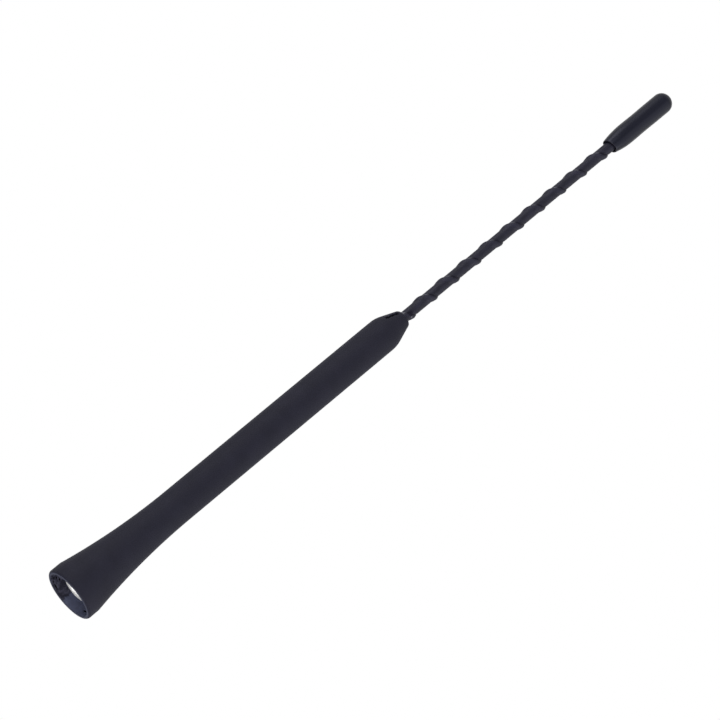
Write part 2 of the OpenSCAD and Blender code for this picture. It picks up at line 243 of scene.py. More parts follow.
def turned(name, rows, angles, poles=None):
    """Mesh object from rows of radii and heights. The rows close on themselves, or on a pole at each end."""
    count, size = len(rows), len(angles)
    radii = np.array([np.broadcast_to(r, size) for r, _ in rows], float)
    heights = np.array([np.broadcast_to(z, size) for _, z in rows], float)
    points = np.stack([radii * np.cos(angles), radii * np.sin(angles), heights], -1).reshape(-1, 3)
    ends = count if poles is None else count - 1
    i, j = np.meshgrid(np.arange(ends), np.arange(size), indexing="ij")
    up, side = (i + 1) % count, (j + 1) % size
    corners = (i * size + j, i * size + side, up * size + side, up * size + j)
    faces = np.stack(corners, -1).reshape(-1, 4).tolist()
    if poles is not None:
        points = np.vstack([points, [[0, 0, poles[0]], [0, 0, poles[1]]]])
        low, high, top = count * size, count * size + 1, (count - 1) * size
        faces += [(low, (k + 1) % size, k) for k in range(size)]
        faces += [(high, top + k, top + (k + 1) % size) for k in range(size)]
    mesh = bpy.data.meshes.new(name)
    mesh.from_pydata(points.tolist(), [], faces)
    return placed(name, mesh)


def linked(name, data):
    """A new object in the scene."""
    made = bpy.data.objects.new(name, data)
    bpy.context.scene.collection.objects.link(made)
    return made


def placed(name, mesh, crease=35):
    """Links a mesh as an object at the origin, smooth except at creases."""
    mesh.validate()
    mesh.shade_smooth()
    mesh.set_sharp_from_angle(angle=math.radians(crease))
    return linked(name, mesh)


def keep(piece, finish, slot, *nodes):
    """Gives a finished piece its material and its place in the frame."""
    piece.data.materials.clear()
    piece.data.materials.append(finish)
    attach(piece, "root")
    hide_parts(*nodes)
    return piece


def point_values(piece, name, values):
    """Stores one number for each point of a mesh."""
    attribute = piece.data.attributes.new(name, "FLOAT", "POINT")
    attribute.data.foreach_set("value", np.asarray(values, np.float32).ravel())


def wrapped(angle):
    """An angle between minus half a turn and half a turn."""
    return (angle + math.pi) % TURN - math.pi


def soft_step(low, high, value):
    """Zero below low, one above high and a smooth rise between them."""
    share = np.clip((value - low) / (high - low), 0, 1)
    return share * share * (3 - 2 * share)


# Node trees

def feed(tree, socket, value):
    """Links or sets a socket."""
    if isinstance(value, bpy.types.NodeSocket):
        tree.links.new(value, socket)
    elif value is not None:
        socket.default_value = value


def node(tree, kind, inputs=None, **settings):
    """A node with its settings and inputs."""
    made = tree.nodes.new(kind)
    for key, value in settings.items():
        setattr(made, key, value)
    for key, value in (inputs or {}).items():
        feed(tree, made.inputs[key], value)
    return made


def calc(tree, operation, *values):
    """Result of a math node."""
    made = tree.nodes.new("ShaderNodeMath")
    made.operation = operation
    for socket, value in zip(made.inputs, values):
        feed(tree, socket, value)
    return made.outputs[0]


def shape_tree(name, **sockets):
    """A geometry tree with inputs named by kind. Returns the tree, its inputs and a function that ends it."""
    tree = bpy.data.node_groups.new(name, "GeometryNodeTree")
    tree.is_modifier = True
    tree.interface.new_socket("Geometry", in_out="INPUT", socket_type="NodeSocketGeometry")
    for kind, labels in dict(sockets, Material=["Material"]).items():
        for label in labels:
            tree.interface.new_socket(label, in_out="INPUT", socket_type="NodeSocket" + kind)
    tree.interface.new_socket("Geometry", in_out="OUTPUT", socket_type="NodeSocketGeometry")
    entry = node(tree, "NodeGroupInput").outputs

    def end(geometry):
        smooth = node(tree, "GeometryNodeSetShadeSmooth", {"Geometry": geometry})
        real = node(tree, "GeometryNodeRealizeInstances", {"Geometry": smooth.outputs[0]})
        dressed = node(tree, "GeometryNodeSetMaterial",
                       {"Geometry": real.outputs[0], "Material": entry["Material"]})
        node(tree, "NodeGroupOutput", {"Geometry": dressed.outputs[0]})
        return tree

    return tree, entry, end


def grown(name, mesh, tree, values, wall=0.0):
    """Object whose mesh a geometry tree makes, turned into a plain mesh."""
    piece = linked(name, mesh)
    modifier = piece.modifiers.new("Shape", "NODES")
    modifier.node_group = tree
    for item in tree.interface.items_tree:
        if item.in_out == "INPUT" and item.name in values:
            modifier[item.identifier] = values[item.name]
    if wall:
        skin = piece.modifiers.new("Wall", "SOLIDIFY")
        skin.thickness = wall
        skin.offset = -1
        skin.use_even_offset = True
    bpy.context.view_layer.update()
    graph = bpy.context.evaluated_depsgraph_get()
    plain = bpy.data.meshes.new_from_object(piece.evaluated_get(graph), preserve_all_data_layers=True,
                                            depsgraph=graph)
    bpy.data.objects.remove(piece)
    plain.name = name
    return placed(name, plain)


def bell(tree, value, centre, width):
    """A share that is one at a centre and falls away smoothly on both sides of it."""
    off = calc(tree, "DIVIDE", calc(tree, "SUBTRACT", value, centre), width)
    return calc(tree, "POWER", math.e, calc(tree, "MULTIPLY", calc(tree, "MULTIPLY", off, off), -1.0))


def facing(tree, angle, degrees, low, high, least):
    """A share that rises from a least to one as a direction round the mast comes close to a heading."""
    toward = calc(tree, "COSINE", calc(tree, "SUBTRACT", angle, math.radians(degrees)))
    return between(tree, toward, least, 1.0, low, high)


def ridged_sleeve_tree():
    """Tube with one rounded ridge that climbs round it as a screw."""
    tree, entry, end = shape_tree("Ridged Sleeve", Int=("Points", "Rows", "Seed"), Float=(
        "Radius", "Ridge Roundness", "Ridge Reach", "Ridge Blend", "Ridge Lean", "Ridge Height",
        "Crease Depth", "Pitch", "Foot", "Length", "Unevenness"))

    def op(*values):
        return calc(tree, *values)

    tube = node(tree, "GeometryNodeMeshCylinder", {
        "Vertices": entry["Points"], "Side Segments": entry["Rows"], "Radius": entry["Radius"],
        "Depth": entry["Length"]}, fill_type="NONE")
    here = node(tree, "GeometryNodeInputPosition").outputs[0]
    spot = node(tree, "ShaderNodeSeparateXYZ", {0: here}).outputs

    # Section of the tube at each turn from the ridge
    turn = op("ARCTAN2", spot[1], spot[0])
    reach = entry["Ridge Reach"]
    leant = op("MULTIPLY_ADD", bell(tree, turn, 0.0, RIDGE_HALF), entry["Ridge Lean"], turn)
    across = op("MULTIPLY", reach, op("SINE", leant))
    room = op("SUBTRACT", op("POWER", entry["Ridge Roundness"], 2.0), op("MULTIPLY", across, across))
    crest = op("MULTIPLY_ADD", reach, op("COSINE", leant), op("SQRT", op("MAXIMUM", room, 0.0)))
    radius = op("SMOOTH_MAX", entry["Radius"], crest, entry["Ridge Blend"])

    # Climb of that section round the mast
    height = op("ADD", op("MULTIPLY_ADD", entry["Length"], 0.5, entry["Foot"]), spot[2])
    climb = op("DIVIDE", op("SUBTRACT", height, entry["Ridge Height"]), entry["Pitch"])
    angle = op("MULTIPLY_ADD", climb, TURN, turn)
    cosine, sine = op("COSINE", angle), op("SINE", angle)

    # Unevenness, one cell of noise every few millimetres, and the crease beside the ridge
    place = node(tree, "ShaderNodeCombineXYZ", {0: cosine, 1: sine, 2: op("MULTIPLY", height, 260.0)})
    seed = node(tree, "ShaderNodeCombineXYZ", {0: op("MULTIPLY", entry["Seed"], 3.7)})
    shifted = node(tree, "ShaderNodeVectorMath", {0: place.outputs[0], 1: seed.outputs[0]}, operation="ADD")
    uneven = node(tree, "ShaderNodeTexNoise", {"Vector": shifted.outputs[0], "Scale": 0.9, "Detail": 1.5})
    swell = op("MULTIPLY", op("SUBTRACT", uneven.outputs[0], 0.5), entry["Unevenness"])
    crease = bell(tree, turn, *CREASE)
    radius = op("SUBTRACT", op("ADD", radius, swell), op("MULTIPLY", crease, entry["Crease Depth"]))
    spread = node(tree, "ShaderNodeCombineXYZ",
                  {0: op("MULTIPLY", radius, cosine), 1: op("MULTIPLY", radius, sine), 2: height})

    # Shares that the finish uses: the ridge for a painted sheen, and the crease's painted shade and painted
    # highlight
    share = op("DIVIDE", op("SUBTRACT", crest, entry["Radius"]),
               op("SUBTRACT", op("ADD", entry["Ridge Roundness"], reach), entry["Radius"]))
    # Painted shade in the crease, stronger on one side of the mast
    grime = op("MULTIPLY", bell(tree, turn, *CREASE_SHADE), facing(tree, angle, *SHADED_SIDE))
    # Painted highlight in the crease on one side of the mast
    dust = op("MULTIPLY", crease, facing(tree, angle, *HIGHLIGHT_SIDE))
    shape = tube.outputs["Mesh"]
    for name, value in (("ridge", op("MAXIMUM", share, 0.0)), ("crease", grime), ("dust", dust)):
        shape = node(tree, "GeometryNodeStoreNamedAttribute", {
            "Geometry": shape, "Name": name, "Value": value}, data_type="FLOAT", domain="POINT").outputs[0]
    bent = node(tree, "GeometryNodeSetPosition", {"Geometry": shape, "Position": spread.outputs[0]})
    return end(bent.outputs[0])


# Half width of the leaning ridge, and middle and half width of the crease and of the painted shade in it, as
# turns from the ridge in radians
RIDGE_HALF = 0.55
CREASE = (-1.02, 0.17)
CREASE_SHADE = (-0.98, 0.3)

# Sides of the mast with more painted shade in the crease and with the painted highlight: heading in degrees,
# cosines from it and least share
SHADED_SIDE = (300, -0.1, 0.8, 0.3)
HIGHLIGHT_SIDE = (214, 0.8, 0.98, 0.0)


def wire_tree():
    """Round wire along a path of edges."""
    tree, entry, end = shape_tree("Wire", Float=["Wire Radius"], Int=["Points"])
    path = node(tree, "GeometryNodeMeshToCurve", {0: entry["Geometry"]})
    ring = node(tree, "GeometryNodeCurvePrimitiveCircle",
                {"Resolution": entry["Points"], "Radius": entry["Wire Radius"]})
    wire = node(tree, "GeometryNodeCurveToMesh", {0: path.outputs[0], "Profile Curve": ring.outputs[0],
                                                  "Fill Caps": True})
    return end(wire.outputs[0])


# Finishes

def surface(name):
    """A material with its shader and object coordinates."""
    material = bpy.data.materials.new(name)
    material.use_nodes = True
    tree = material.node_tree
    shader = next(n for n in tree.nodes if n.type == "BSDF_PRINCIPLED")
    return material, tree, shader, node(tree, "ShaderNodeTexCoord").outputs["Object"]


def clouds(tree, where, scale, detail=3.0, stretch=(1.0, 1.0, 1.0)):
    """Noise over the piece. The scale is in cells a metre."""
    mapped = node(tree, "ShaderNodeMapping", {"Vector": where, "Scale": stretch})
    return node(tree, "ShaderNodeTexNoise",
                {"Vector": mapped.outputs[0], "Scale": scale, "Detail": detail}).outputs[0]


def between(tree, share, low, high, from_min=0.3, from_max=0.7):
    """A number that runs from low to high as a share runs between its limits."""
    return node(tree, "ShaderNodeMapRange", {0: share, 1: from_min, 2: from_max, 3: low, 4: high}).outputs[0]


def blended(tree, share, first, second):
    """A colour between two colours."""
    mix = node(tree, "ShaderNodeMix", {0: share}, data_type="RGBA")
    feed(tree, mix.inputs[6], first)
    feed(tree, mix.inputs[7], second)
    return mix.outputs[2]


def shade(colour, share=1.0):
    """A colour made darker or lighter, with full alpha."""
    return tuple(min(1.0, c * share) for c in colour[:3]) + (1.0,)


def bumped(tree, shader, *heights):
    """Chains bumps of a height, a strength and a depth in metres onto a shader."""
    normal = None
    for height, strength, depth in heights:
        made = node(tree, "ShaderNodeBump", {"Height": height, "Strength": strength, "Distance": depth})
        feed(tree, made.inputs["Normal"], normal)
        normal = made.outputs[0]
    tree.links.new(normal, shader.inputs["Normal"])


def moulded(name, colour, contrast, cloud, grain, depth, rough, specular, stretch=(1.0, 1.0, 1.0)):
    """Plastic or rubber with soft clouds in its colour and a fine grain in its skin."""
    material, tree, shader, where = surface(name)
    mottle = clouds(tree, where, cloud, 4.0, stretch)
    skin = clouds(tree, where, grain, 2.0, stretch)
    base = blended(tree, between(tree, mottle, 0.0, 1.0),
                   shade(colour, 1 - contrast), shade(colour, 1 + contrast))
    tree.links.new(base, shader.inputs["Base Color"])
    tree.links.new(between(tree, skin, rough - 0.05, rough + 0.05), shader.inputs["Roughness"])
    shader.inputs["Specular IOR Level"].default_value = specular
    bumped(tree, shader, (skin, 0.5, depth), (mottle, 0.4, depth * 4))
    return material, tree, shader, where, base


def share_of(tree, name):
    """One of the shares that a piece stores for its points."""
    return node(tree, "ShaderNodeAttribute", attribute_name=name).outputs["Fac"]


def rubber_finish(tints):
    """Matte moulded rubber: painted light on one side of the cup and painted shade on the other, painted
    shade in the split and the cup's pits, a pale torn flap, and paler edges and rim with wear and painted
    light.
    """
    material, tree, shader, where, base = moulded(
        "sheath_rubber", tints.rubber, 0.12, 160.0, 5200.0, 0.000012, 0.62, 0.1)
    patch = clouds(tree, where, 650.0, 2.0)
    wear_light_patches = between(tree, clouds(tree, where, 900.0), 0.4, 1.0)
    for name, cover, over in (
            ("bloom", between(tree, patch, 0.75, 1.0), shade(tints.bloom)),
            ("grime", between(tree, patch, 0.1, 0.55, 0.42, 0.6), shade(tints.grime)),
            ("worn", wear_light_patches, shade(tints.rubber, 4.0)),
            ("rim", between(tree, patch, 0.55, 1.0), shade(tints.ring)),
            ("fleck", 1.0, shade(tints.fleck)),
            ("split", 1.0, shade(tints.split))):
        base = blended(tree, calc(tree, "MULTIPLY", share_of(tree, name), cover), base, over)
    tree.links.new(base, shader.inputs["Base Color"])
    return material


def sleeve_finish(tints):
    """Shrunk plastic with a slight sheen: a painted sheen over the wire, painted shade in the crease, a
    painted highlight in the crease on one side, and painted shade and a painted highlight beside the nose.
    """
    material, tree, shader, where, base = moulded(
        "sleeve_plastic", tints.sleeve, 0.3, 900.0, 5200.0, 0.000008, 0.46, 0.13, (1.0, 1.0, 0.35))
    # Painted sheen: paler colour over the wire's ridge, in patches
    ridge_sheen = calc(tree, "MULTIPLY", calc(tree, "POWER", share_of(tree, "ridge"), 2.0),
                 between(tree, clouds(tree, where, 700.0), 0.1, 0.7))
    skin = blended(tree, ridge_sheen, base, shade(tints.sleeve, 1.8))
    # Painted shade in the crease and a painted highlight beside it
    for name in ("crease", "dust"):
        skin = blended(tree, share_of(tree, name), skin, shade(getattr(tints, name)))
    # Painted shade and a painted highlight beside the nose
    for spot, reach, name in SLEEVE_MARKS:
        away = node(tree, "ShaderNodeVectorMath", {0: where, 1: [v * MM for v in spot]}, operation="DISTANCE")
        near = between(tree, away.outputs["Value"], 1.0, 0.0, reach * 0.5 * MM, reach * MM)
        skin = blended(tree, near, skin, shade(getattr(tints, name)))
    tree.links.new(skin, shader.inputs["Base Color"])
    return material


# Painted shade and a painted highlight on the sleeve beside the nose: place, reach and name of the colour
SLEEVE_MARKS = [
    ((0.5, -1.9, 150.2), 1.3, "crease"),
    ((1.6, -1.7, 149.75), 0.42, "nose_highlight"),
]


def cap_finish(tints):
    """Satin moulded plastic with a smooth, slightly wavy skin, with painted light on the edge of its mouth.
    """
    material, tree, shader, _, base = moulded(
        "cap_plastic", tints.cap, 0.1, 260.0, 2600.0, 0.000003, 0.33, 0.19, (1.0, 1.0, 0.4))
    tree.links.new(blended(tree, share_of(tree, "mouth"), base, shade(tints.mouth_light)),
                   shader.inputs["Base Color"])
    shader.inputs["Specular Tint"].default_value = (0.78, 0.8, 1.0, 1.0)
    return material


def metal(name, colour, cloud, detail, tones, roughs, metallic=1.0):
    """Metal whose tone and roughness follow soft clouds."""
    material, tree, shader, where = surface(name)
    haze = clouds(tree, where, cloud, detail)
    tree.links.new(blended(tree, between(tree, haze, 0.0, 1.0), *(shade(colour, tone) for tone in tones)),
                   shader.inputs["Base Color"])
    tree.links.new(between(tree, haze, *roughs), shader.inputs["Roughness"])
    shader.inputs["Metallic"].default_value = metallic
    return material, tree, shader, where, haze


def nickel_finish(colour):
    """Satin nickel plate over turned metal, with fine tool rings round the axis."""
    material, tree, shader, where, haze = metal("nickel_brass", colour, 500.0, 4.0, (0.94, 1.0), (0.6, 0.7))
    flat = node(tree, "ShaderNodeVectorMath", {0: where, 1: (1.0, 1.0, 0.0)}, operation="MULTIPLY")
    away = node(tree, "ShaderNodeVectorMath", {0: flat.outputs[0]}, operation="LENGTH").outputs["Value"]
    rings = calc(tree, "SINE", calc(tree, "MULTIPLY", away, 42000.0))
    bumped(tree, shader, (rings, 0.25, 0.000004), (haze, 0.2, 0.00001))
    return material


def copper_finish(colour):
    """Copper wire under a clear, slightly uneven enamel."""
    material, tree, shader, _, haze = metal(
        "enamelled_copper", colour, 900.0, 3.0, (0.8, 1.15), (0.22, 0.36), 0.85)
    shader.inputs["Coat Weight"].default_value = 0.6
    bumped(tree, shader, (haze, 0.3, 0.000006))
    return material


def solder_finish(colour):
    """Dull, rippled solder."""
    material, tree, shader, _, ripple = metal("solder", colour, 2400.0, 3.0, (0.75, 1.1), (0.3, 0.5))
    bumped(tree, shader, (ripple, 0.6, 0.00003))
    return material


# Pieces

def sheath_outline(size):
    """Outer line of the sheath, from the inside of the flat rim up to the middle of the nose."""
    drop = size.base_radius - size.shank_radius
    rise = size.flare - size.land
    sweep = (rise * rise + drop * drop) / (2 * drop)
    cone_foot = NOSE - (size.shank_radius - size.nose_radius) / math.tan(size.cone)
    shoulder = cone_foot - size.shoulder * math.tan(size.cone / 2)
    nose = size.nose_radius - size.nose_round * math.tan((math.pi / 2 - size.cone) / 2)
    lower = [(size.cup_mouth + size.lip_round, 0.0)]
    lower += arc(size.base_radius - size.rim_round, size.rim_round, size.rim_round, -math.pi / 2, 0, 8)
    lower += arc(size.shank_radius + sweep, size.flare, sweep, math.pi + math.asin(rise / sweep), math.pi, 34)
    shank = fine([lower[-1], (size.shank_radius, shoulder)], 5 * MM)
    upper = arc(size.shank_radius - size.shoulder, shoulder, size.shoulder, 0, size.cone, 14)
    edge = arc(nose, NOSE - size.nose_round, size.nose_round, size.cone, math.pi / 2, 14)
    cone = fine([upper[-1]] + edge[:1], 0.11 * MM)
    return fine(lower, 2.2 * MM) + shank[1:] + upper[1:] + cone[1:] + edge[1:]


def ridge_radius(whip, turn, grow):
    """Outer radius of the ridged sleeve at a turn from the ridge, grown by a fit."""
    reach, bulge = whip.bulge_reach, whip.bulge_radius + grow
    crest = reach * np.cos(turn) + np.sqrt(np.maximum(bulge ** 2 - (reach * np.sin(turn)) ** 2, 0))
    return np.maximum(whip.base_radius + grow, crest)


def hexagon(ferrule, angles, grow=0.0):
    """Radius of the hexagon in each direction."""
    off = (angles - ferrule.hex_turn) % (TURN / 6) - TURN / 12
    return (ferrule.flats / 2 + grow) / np.cos(off)


def grooved(radius, foot, size, count, width, depth):
    """Line up a barrel with holding grooves cut in it."""
    line = [(radius, foot)]
    for i in range(count):
        low = foot + (i + 0.5) * size / count - width / 2
        line += [(radius, low), (radius - depth, low), (radius - depth, low + width), (radius, low + width)]
    return line + [(radius, foot + size)]


def ferrule_line(size, grow):
    """Outer line of the ferrule's barrel and neck."""
    barrel = size.face + size.hex_height
    return (grooved(size.barrel + grow, barrel, size.barrel_length, 3, size.groove_width, size.groove)
            + grooved(size.neck + grow, barrel + size.barrel_length, 8 * MM, 2, size.crimp_width, size.crimp))


def tube_line():
    """Line inside the sheath that follows the tube over the coil."""
    low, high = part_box("coil_tube")
    neck, slim, wide, top = 3.57 * MM, 2.92 * MM, (high.x - low.x) / 2, 2.68 * MM
    return [(neck, low.z), (neck, NECK_TOP + 0.9 * MM),
            (slim, NECK_TOP + 3.9 * MM), (slim, BULGE_FOOT - BULGE_TAPER),
            (wide, BULGE_FOOT), (wide, BULGE_TOP), (top, SLEEVE_FOOT), (top, high.z)]


# Stretch of the tube that the coil swells, and the taper below it
BULGE_FOOT = 99.4 * MM
BULGE_TOP = 119.45 * MM
BULGE_TAPER = 3 * MM


def cup_marks(angles, radius, height):
    """Depth of the hollows in the cup's wall at a height, and the shares of painted light and painted shade
    there.
    """
    pit = np.zeros(len(angles))
    for turn, level, wide, tall, depth in CUP_PITS:
        across = wrapped(angles - math.radians(turn)) * radius / (wide * MM)
        away = np.hypot(across, (height / MM - level) / tall)
        pit = np.maximum(pit, soft_step(1.0, 0.35, away) * depth * MM)
    off = np.abs(wrapped(angles - CUP_LIGHT_TURN))
    edge = 0.04
    ragged = 0.03 * np.sin(height / MM * 3.1) + 0.02 * np.sin(height / MM * 7.3 + 1)
    # Painted light on one side of the cup; the rest of the cup, one less that share, gets painted shade
    bloom = soft_step(CUP_LIGHT_HALF + edge, CUP_LIGHT_HALF - edge, off + ragged)
    return pit, bloom, 1 - bloom


# Small hollows in the cup's wall: direction in degrees, height, half width, half height and depth
CUP_PITS = [
    (124.0, 1.0, 1.35, 0.36, 0.3),
    (139.5, 0.95, 0.6, 0.35, 0.22),
    (150.0, 1.45, 0.55, 0.35, 0.2),
    (143.0, 2.3, 1.0, 0.3, 0.22),
    (134.0, 3.1, 0.9, 0.35, 0.25),
    (29.0, 2.35, 1.5, 0.42, 0.3),
]

# Middle and half width of the cup's side with painted light, in radians
CUP_LIGHT_TURN = math.radians(20)
CUP_LIGHT_HALF = 1.23

# Room left round the whip, and round the whip's bore at the nose, and round the ferrule
WHIP_FIT = 0.045 * MM
NOSE_FIT = 0.09 * MM
FERRULE_FIT = 0.02 * MM


def make_sheath(settings):
    """The moulded sheath, its cup, split cone and the bore round all that it holds."""
    size, whip, ferrule = settings.sheath, settings.whip, settings.ferrule
    # Points round the sheath, closer together at the split
    even = np.linspace(0, TURN, 4096, endpoint=False)
    crowd = np.cumsum(1 + 2.6 * np.exp(-(wrapped(even - size.split_turn) / 0.3) ** 2))
    angles = np.interp(np.arange(size.columns) * crowd[-1] / size.columns, crowd, even)
    waves = 0.5 * np.sin(3 * angles + 1) + 0.3 * np.sin(7 * angles + 4) + 0.2 * np.sin(13 * angles + 2)
    torn = np.exp(-(wrapped(angles - size.flap_turn) / 0.2) ** 2)
    flap = size.flap * torn
    rows, marks = [], {"split": [], "worn": [], "rim": [], "bloom": [], "grime": [], "fleck": []}

    def row(radius, height, **shares):
        rows.append((radius, height))
        for name, kept in marks.items():
            kept.append(np.broadcast_to(shares.get(name, 0.0), size.columns))

    def bore(height, grow):
        return ridge_radius(whip, angles - TURN * (height - whip.ridge_height) / whip.pitch, grow)

    for r, z in sheath_outline(size):
        along = (z - size.split_height) / math.cos(size.cone)
        across = wrapped(angles - size.split_turn) * r + 0.07 * MM * np.sin(along / MM * 2.1 + 0.6)
        bite = 1 + 0.2 * math.sin(along / MM * 2.9 + 1.2) + 0.12 * math.sin(along / MM * 7.1 + 2)
        half = size.split_width / 2 * bite
        ends = soft_step(size.split_length / 2, size.split_length / 2 - 0.6 * MM, abs(along))
        # The split's share gives its floor painted shade
        cut = soft_step(half, half * 0.6, np.abs(across)) * ends
        lip = np.exp(-((across + half) / (0.16 * MM)) ** 2) * ends
        radius = r - cut * size.split_depth + lip * 0.05 * MM
        if z < 2 * size.rim_round:
            radius = radius + waves * 0.03 * MM
        top = soft_step(NOSE - 0.25 * MM, NOSE, z)
        radius = np.maximum(radius - top * flap * 0.3, bore(z, NOSE_FIT) if z > NOSE - 0.6 * MM else 0)
        # Wear and painted light on the rim face, the nose top and the split's lip
        worn = math.exp(-(z / (0.1 * MM)) ** 2) + 0.35 * top + 0.5 * lip
        # The rim face also gets the rim colour, wear and painted light
        row(radius, z + top * flap, split=cut, worn=worn, rim=soft_step(0.12 * MM, 0.03 * MM, z),
            fleck=torn * soft_step(NOSE - 0.6 * MM, NOSE - 0.1 * MM, z))

    for z in np.linspace(NOSE, SLEEVE_FOOT + 6 * MM, 50):
        first = z == NOSE
        row(bore(z, WHIP_FIT), z + first * flap, fleck=first * torn)
    for r, z in reversed(tube_line()):
        row(r, z)
    for r, z in reversed(ferrule_line(ferrule, FERRULE_FIT)):
        row(r, z)
    hexed = hexagon(ferrule, angles, FERRULE_FIT)
    row(hexed, ferrule.face + ferrule.hex_height)
    row(hexed, size.cup_depth)

    corner, edge = size.cup_floor - size.cup_round, size.cup_depth - size.cup_round
    cup = arc(corner, edge, size.cup_round, math.pi / 2, 0, 6)[:-1]
    cup += fine([(size.cup_floor, edge), (size.cup_mouth, size.lip_round)], 0.15 * MM)
    lip = size.lip_round
    cup += arc(size.cup_mouth + lip, lip, lip, math.pi, 3 * math.pi / 2, 5)[1:-1]
    for r, z in cup:
        # The cup's lip gets wear and painted light as well
        pit, bloom, grime = cup_marks(angles, r, z)
        # The pits are painted with the split's painted shade
        row(r + pit + waves * 0.02 * MM, z, split=np.clip(pit / (0.2 * MM), 0, 1), bloom=bloom, grime=grime,
            worn=math.exp(-(z / (0.12 * MM)) ** 2), rim=soft_step(0.3 * MM, 0.1 * MM, z))
    piece = turned("sheath_moulding", rows, angles)
    for name, shares in marks.items():
        point_values(piece, name, shares)
    keep(piece, rubber_finish(settings.finishes), "sheath_rubber", "mast_sheath")


# Slope of the drilled hole's point and of the hexagon's chamfer
DRILL_SLOPE = math.radians(59)
CHAMFER_SLOPE = math.radians(30)


def make_ferrule(settings):
    """The ferrule, with its chamfered hexagon, cut thread, holding grooves and crimped neck."""
    size = settings.ferrule
    angles = size.hex_turn + np.linspace(0, TURN, size.columns, endpoint=False)
    bottom = size.face + size.hole_depth
    point = size.thread_crest / math.tan(DRILL_SLOPE)
    sunk, edge = size.thread_root + 0.1 * MM, 0.05 * MM
    rows = []
    for z in np.arange(bottom, size.face, -size.thread_pitch / 10):
        phase = (z / size.thread_pitch - angles / TURN) % 1.0
        flank = np.clip((np.abs(2 * phase - 1) - 0.25) / 0.62, 0, 1)
        fade = soft_step(bottom - 0.4 * MM, bottom - 1.6 * MM, z)
        thread = size.thread_crest + flank * (size.thread_root - size.thread_crest) * fade
        rows.append((np.maximum(thread, sunk - (z - size.face)), z))
    hexed = hexagon(size, angles)
    lift = size.face + (hexed - size.chamfer) * math.tan(CHAMFER_SLOPE)
    back, floor = size.face + size.hex_height, NECK_TOP - size.socket_depth
    rows += [(sunk, size.face), (size.chamfer - edge, size.face), (size.chamfer, size.face + edge / 5),
             (hexed - edge, lift - edge * 0.4), (hexed, lift + edge * 0.8),
             (hexed, back - edge), (hexed - edge, back)]
    rows += ferrule_line(size, 0.0)[:-1]
    rows += [(size.neck, NECK_TOP - 2 * edge), (size.neck - 2 * edge, NECK_TOP),
             (size.socket + 2 * edge, NECK_TOP), (size.socket, NECK_TOP - 2 * edge), (size.socket, floor)]
    piece = turned("ferrule_turned", rows, angles, (bottom + point, floor))
    keep(piece, nickel_finish(settings.finishes.nickel), "nickel_brass", "threaded_ferrule")


def make_sleeve(settings):
    """The sleeve that is shrunk over rod and wire, whose wire shows as a climbing ridge."""
    size = settings.whip
    span = SLEEVE_TOP - SLEEVE_FOOT
    finish = sleeve_finish(settings.finishes)
    values = {
        "Radius": size.base_radius, "Ridge Roundness": size.bulge_radius, "Ridge Reach": size.bulge_reach,
        "Ridge Blend": size.blend, "Ridge Lean": size.lean, "Crease Depth": size.crease,
        "Pitch": size.pitch, "Ridge Height": size.ridge_height, "Foot": SLEEVE_FOOT, "Length": span,
        "Points": 60, "Rows": round(span / size.pitch * 30), "Unevenness": size.unevenness,
        "Seed": size.seed, "Material": finish}
    seed = bpy.data.meshes.new("sleeve_seed")
    piece = grown("whip_ridged_sleeve", seed, ridged_sleeve_tree(), values, size.wall)
    keep(piece, finish, "sleeve_plastic", "whip_sleeve")


def screw_path(radius, foot, rise, turns, start, steps):
    """Points of a right-hand screw line."""
    shares = np.linspace(0, turns, max(2, int(turns * steps)))
    return [(radius * math.cos(start + TURN * s), radius * math.sin(start + TURN * s), foot + rise * s)
            for s in shares]


def eased(points, radius):
    """The same path with its sharp bends rounded."""
    path = [Vector(points[0])]
    for before, corner, after in zip(points, points[1:], points[2:]):
        corner = Vector(corner)
        back, on = Vector(before) - corner, Vector(after) - corner
        cut = min(radius, back.length / 2, on.length / 2)
        start, stop = corner + back.normalized() * cut, corner + on.normalized() * cut
        path += [start.lerp(corner, t).lerp(corner.lerp(stop, t), t) for t in (0.0, 0.25, 0.5, 0.75, 1.0)]
    return path + [Vector(points[-1])]


def make_wires(settings):
    """The wire round the rod and the close-wound loading coil with its two tails."""
    size = settings.whip
    finish = copper_finish(settings.finishes.copper)
    tree = wire_tree()

    def wire(name, points, node_name):
        path = bpy.data.meshes.new(name)
        path.from_pydata([tuple(p) for p in points], [(i, i + 1) for i in range(len(points) - 1)], [])
        piece = grown(name, path, tree, {"Wire Radius": size.wire_radius, "Points": 10, "Material": finish})
        keep(piece, finish, "enamelled_copper", node_name)

    start = TURN * (WINDING_FOOT - size.ridge_height) / size.pitch
    turns = (WINDING_TOP - WINDING_FOOT) / size.pitch
    climb = screw_path(size.wire_centre, WINDING_FOOT, size.pitch, turns, start, 32)
    wire("whip_wire", climb, "whip_winding")

    coil_top = size.coil_foot + size.wire_radius + (size.coil_turns - 1) * size.coil_pitch
    turns = size.coil_turns - 1 + ((start - math.pi) / TURN) % 1.0
    rise = (coil_top - size.coil_foot - size.wire_radius) / turns
    coil = screw_path(size.coil_centre, size.coil_foot + size.wire_radius, rise, turns, math.pi, 26)
    lead = [(-size.tail_radius, 0, NECK_TOP + 0.05 * MM), (-size.tail_radius, 0, size.tail_elbow),
            (-size.coil_centre, 0, size.tail_elbow), (-size.coil_centre, 0, size.coil_foot - 0.1 * MM)]
    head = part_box("loading_coil")[1].z - size.wire_radius
    tail = [(r * math.cos(start), r * math.sin(start), z) for r, z in (
        (size.coil_centre, coil_top + 0.4 * MM), (size.coil_centre, head), (size.wire_centre, head))]
    wire("loading_coil_wire", eased(lead, 0.5 * MM) + coil + eased(tail, 0.3 * MM), "loading_coil")


